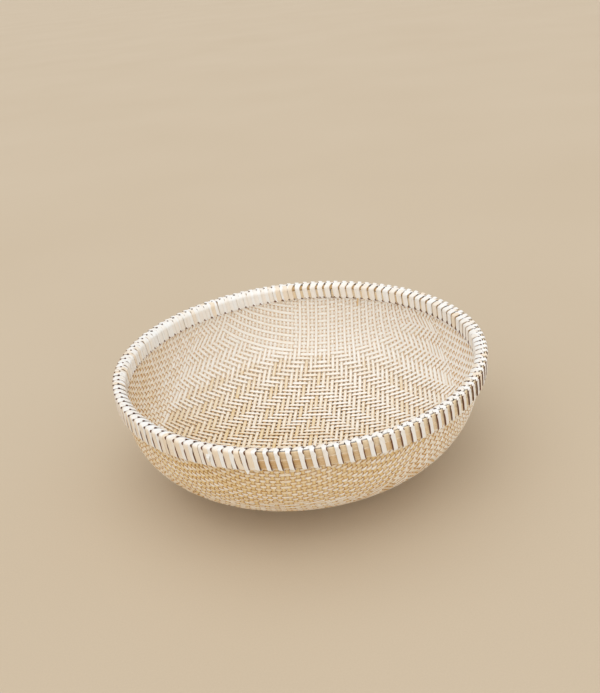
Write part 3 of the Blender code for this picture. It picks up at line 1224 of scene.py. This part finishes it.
@dataclass
class Rim:
    """The hoops, the filler strip, all the lashing and its loose ends."""

    sizes: RimSizes
    strips: int = 5
    turns: int = 24
    first_degrees: float = 270.0
    first_seed: int = 11
    groove: float = 0.0005
    cross_width: float = 0.0043
    loose_thickness: float = 0.0004
    loose_step: float = 0.003

    def hoops(self) -> None:
        """Builds the hoops and the filler strip.

        An outline runs round the strip's section from its inner lower edge. Its points are drawn
        in by fractions of a millimetre where the edges are rounded off.
        """
        rim, groove = self.sizes, self.groove
        low, split, top = rim.band_base, rim.joint - 0.0001, rim.hoop_top
        middle = (low + split) / 2
        upper = [(rim.hoop_inner, rim.joint), (rim.hoop_outer - 0.0007, rim.joint - 0.0002),
                 (rim.hoop_outer - 0.0003, (rim.joint + top) / 2), (rim.hoop_outer - 0.0003, top - 0.0004),
                 (rim.hoop_outer - 0.0007, top), (rim.hoop_outer - rim.hoop_lip + 0.0002, top - 0.0002),
                 (rim.hoop_inner, top - rim.hoop_taper)]
        lower = [(rim.hoop_inner, low), (rim.hoop_outer - 0.0001, low), (rim.hoop_outer, middle - groove),
                 (rim.hoop_outer - groove * 0.3, middle), (rim.hoop_outer, middle + groove * 0.4),
                 (rim.hoop_outer, split - 0.0006), (rim.hoop_outer - 0.0006, split + 0.0002), (rim.hoop_inner, split)]
        inner = [(rim.inner_inner, low), (rim.inner_outer, low), (rim.inner_outer, rim.wall_top),
                 (rim.inner_inner, rim.wall_top), (rim.inner_inner - 0.0002, (low + rim.wall_top) / 2)]
        inmost = rim.hoop_inner - rim.seat
        filler = [(rim.inner_inner, rim.filler_base), (inmost, rim.filler_base), (inmost, rim.filler_top),
                  (inmost - 0.0022, rim.filler_top - 0.0003), (rim.inner_inner + 0.0012, rim.shoulder + 0.0009),
                  (rim.inner_inner, rim.shoulder)]
        # The joint is where the ends meet, in degrees, and the shaded points get painted shade: the upper hoop's
        # groove and the filler's top under the gaps of the lashing.
        for name, outline, joint, finish, tone, dark, node, slot in (
            ("upper_outer_hoop", upper, 207.0, Finish.HOOP, 0.50, (5, 6), "outer_hoop_upper", "hoop"),
            ("lower_outer_hoop", lower, 333.0, Finish.HOOP, 0.95, (), "outer_hoop_lower", "hoop"),
            ("inner_rim_hoop", inner, 75.0, Finish.HOOP, 0.15, (), "inner_hoop", "hoop"),
            ("rim_filler_strip", filler, 141.0, Finish.FILLER, 0.45, (2, 3), "rim_filler", "filler"),
        ):
            made = BentRing(name, outline, joint, finish, tone, shaded_points=dark, seed=int(joint)).build()
            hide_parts(node)
            log.info("%s: bent to a ring of %.1f mm", name, outline[0][0] * 1000)

    def lashing(self) -> None:
        """Winds the main strips and the cross lashing between them, whose two lengths take their own routes."""
        for number in range(self.strips):
            name = f"lashing_{number + 1}"
            node = f"lashing_strip_{number + 1}"
            first = self.first_degrees - 360.0 / self.strips * number
            Lashing(self.sizes, name, first, self.turns, Route.ALL_ROUND, Finish.WRAP,
                    seed=self.first_seed + number).build(node)
        for name, first, turns, route, seed in (
            ("cross_lashing_right", 93.0, 65, Route.BEHIND, 32),
            ("cross_lashing_left", 258.0, 55, Route.OUTSIDE, 34),
        ):
            Lashing(self.sizes, name, first, turns, route, Finish.WRAP, width=self.cross_width, sink=0.0001,
                    lifted_edge=0.00008, tones=(0.0, 0.45), seed=seed).build()

    def loose_ends(self) -> None:
        """Builds the cut ends that stand off the rim: two of lashing strips and one of the filler's ties.

        An end has its angle round the rim, its run of radius and height pairs, its width where it
        starts and where it ends, and its tone.
        """
        base = self.sizes.band_base
        across = np.array(Lashing.across)
        for name, finish, ends in (
            ("loose_strip_ends", Finish.WRAP, (
                (253.75, ((0.1490, base + 0.0010), (0.1492, base - 0.0012), (0.1494, base - 0.0038)),
                 (0.0052, 0.0005), 0.0),
                (243.3, ((0.1496, 0.0890), (0.1505, 0.0862), (0.1499, 0.0832)), (0.0034, 0.0012), 0.1),
            )),
            ("loose_tie_end", Finish.HOOP, (
                (63.75, ((0.1404, base + 0.0016), (0.1396, base - 0.0026), (0.1386, base - 0.0072)),
                 (0.0019, 0.0014), 0.8),
            )),
        ):
            ribbons = Ribbons()
            for degrees, run, widths, tone in ends:
                path, angle = np.array(run), math.radians(degrees)
                side = across[None, :] * np.linspace(*widths, len(path))[:, None] / 2
                points = np.stack([path[:, :1] * math.cos(angle) - side * math.sin(angle),
                                   path[:, :1] * math.sin(angle) + side * math.cos(angle),
                                   np.broadcast_to(path[:, 1:], side.shape)], axis=-1)
                ribbons.strip(points, np.arange(len(path)) * self.loose_step, across, tone)
            made = ribbons.piece(name, finish, self.loose_thickness)
            log.info("%s: %d", name, len(ends))

    def build(self) -> None:
        """Builds the whole rim."""
        self.hoops()
        self.lashing()
        self.loose_ends()


@dataclass
class Studio:
    """A plain pale floor, soft light from above and from the front, and the camera of the photograph.

    The camera looks at the middle of the rim, from so many degrees above it. The basket in the
    photograph leans to one side, which the camera's roll gives back. The focal length and the
    picture's centre are in pixels of the photograph's frame. The floor has a fine grain and
    faint clouds, each with its scale.
    """

    rim: RimSizes
    elevation: float = 25.853
    roll: float = 6.1325
    distance: float = 0.66
    focal: float = 814.13
    sensor: float = 36.0
    near_clip: float = 0.01
    far_clip: float = 200.0
    frame_width: int = 600
    frame_height: int = 693
    centre_x: float = 298.0
    centre_y: float = 348.18
    floor_radius: float = 60.0
    floor_colour: str = "cab9a0"
    floor_grain: tuple[str, float] = ("beac92", 900.0)
    floor_cloud: tuple[str, float] = ("d1c2ac", 2.2)
    room_colour: str = "fcfbfa"
    room_strength: float = 0.70

    def floor(self) -> None:
        """Lays the floor."""
        bm = bmesh.new()
        bmesh.ops.create_circle(bm, cap_ends=True, segments=96, radius=self.floor_radius)
        mesh = bpy.data.meshes.new("floor")
        bm.to_mesh(mesh)
        bm.free()
        web = Web("floor_paper")
        where = web.add("ShaderNodeTexCoord").outputs["Object"]
        (grain_colour, grain_scale), (cloud_colour, cloud_scale) = self.floor_grain, self.floor_cloud
        grain = web.noise(where, grain_scale, 3.0, 0.6)
        cloud = web.noise(where, cloud_scale, 2.0)
        base = web.blend((grain - NOISE_MIDDLE) * 0.9 + 0.5, colour(self.floor_colour), colour(grain_colour))
        shade = web.blend((cloud - NOISE_MIDDLE) * 0.5 + 0.2, base, colour(cloud_colour))
        matt = (grain * 0.2 + 0.75).clamped()
        mesh.materials.append(web.finish(shade, matt, grain, height=0.0002, strength=0.12))
        floor = bpy.data.objects.new("floor", mesh)
        bpy.context.scene.collection.objects.link(floor)
        floor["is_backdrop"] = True

    def sun(self, name: str, way: tuple[float, float, float], spread: float, strength: float, tint: str) -> None:
        """Adds an even light that comes from one side, softened by the spread of its directions.

        Args:
            name: Its name.
            way: The side it comes from.
            spread: The angle its directions fill, in degrees.
            strength: Its strength.
            tint: Its colour.
        """
        data = bpy.data.lights.new(name, "SUN")
        data.angle = math.radians(spread)
        data.energy = strength
        data.color = colour(tint)[:3]
        lamp = bpy.data.objects.new(name, data)
        lamp.matrix_world = (-Vector(way)).to_track_quat("-Z", "Y").to_matrix().to_4x4()
        bpy.context.scene.collection.objects.link(lamp)

    def light(self) -> None:
        """Sets the lamps and the plain surroundings."""
        self.sun("window_light", way=(-0.20, 0.10, 1.0), spread=70.0, strength=0.68, tint="ffffff")
        self.sun("room_fill", way=(0.05, -1.0, 0.65), spread=120.0, strength=1.15, tint="fffefc")
        world = bpy.data.worlds.new("studio")
        world.use_nodes = True
        background = world.node_tree.nodes["Background"]
        background.inputs["Color"].default_value = colour(self.room_colour)
        background.inputs["Strength"].default_value = self.room_strength
        bpy.context.scene.world = world
        bpy.context.scene.view_settings.view_transform = "Standard"

    def camera(self) -> None:
        """Sets the camera as the photograph was taken."""
        tilt, roll = math.radians(self.elevation), math.radians(self.roll)
        ahead = Vector((0.0, math.cos(tilt), -math.sin(tilt)))
        right = Vector((1.0, 0.0, 0.0))
        up = right.cross(ahead)
        rolled_right = right * math.cos(roll) - up * math.sin(roll)
        rolled_up = right * math.sin(roll) + up * math.cos(roll)
        longest = max(self.frame_width, self.frame_height)
        data = bpy.data.cameras.new("camera")
        data.sensor_width = self.sensor
        data.lens = self.focal / longest * self.sensor
        data.shift_x = (self.frame_width / 2 - self.centre_x) / longest
        data.shift_y = (self.centre_y - self.frame_height / 2) / longest
        data.clip_start, data.clip_end = self.near_clip, self.far_clip
        camera = bpy.data.objects.new("camera", data)
        place = Vector((0.0, 0.0, self.rim.height)) - ahead * self.distance
        axes = Matrix((rolled_right, rolled_up, -ahead)).transposed().to_4x4()
        camera.matrix_world = Matrix.Translation(place) @ axes
        bpy.context.scene.collection.objects.link(camera)
        bpy.context.scene.camera = camera

    def build(self) -> None:
        """Sets up floor, light and camera."""
        self.floor()
        self.light()
        self.camera()


def report_size() -> None:
    """Logs the solid part's box and the dressed one's."""
    boxes = {"cad": [list(corner) for corner in CAD_BOX], "visual": [list(corner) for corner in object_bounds()]}
    for name, (low, high) in boxes.items():
        log.info("%s box in mm: %s to %s", name, [round(part * 1000, 2) for part in low],
                 [round(part * 1000, 2) for part in high])


def main() -> None:
    """Builds the basket and the studio."""
    logging.basicConfig(level=logging.INFO, format="%(name)s: %(message)s")
    rim = RimSizes()
    WovenMat(rim).build()
    Rim(rim).build()
    Studio(rim).build()
    report_size()


if __name__ == "__main__":
    main()
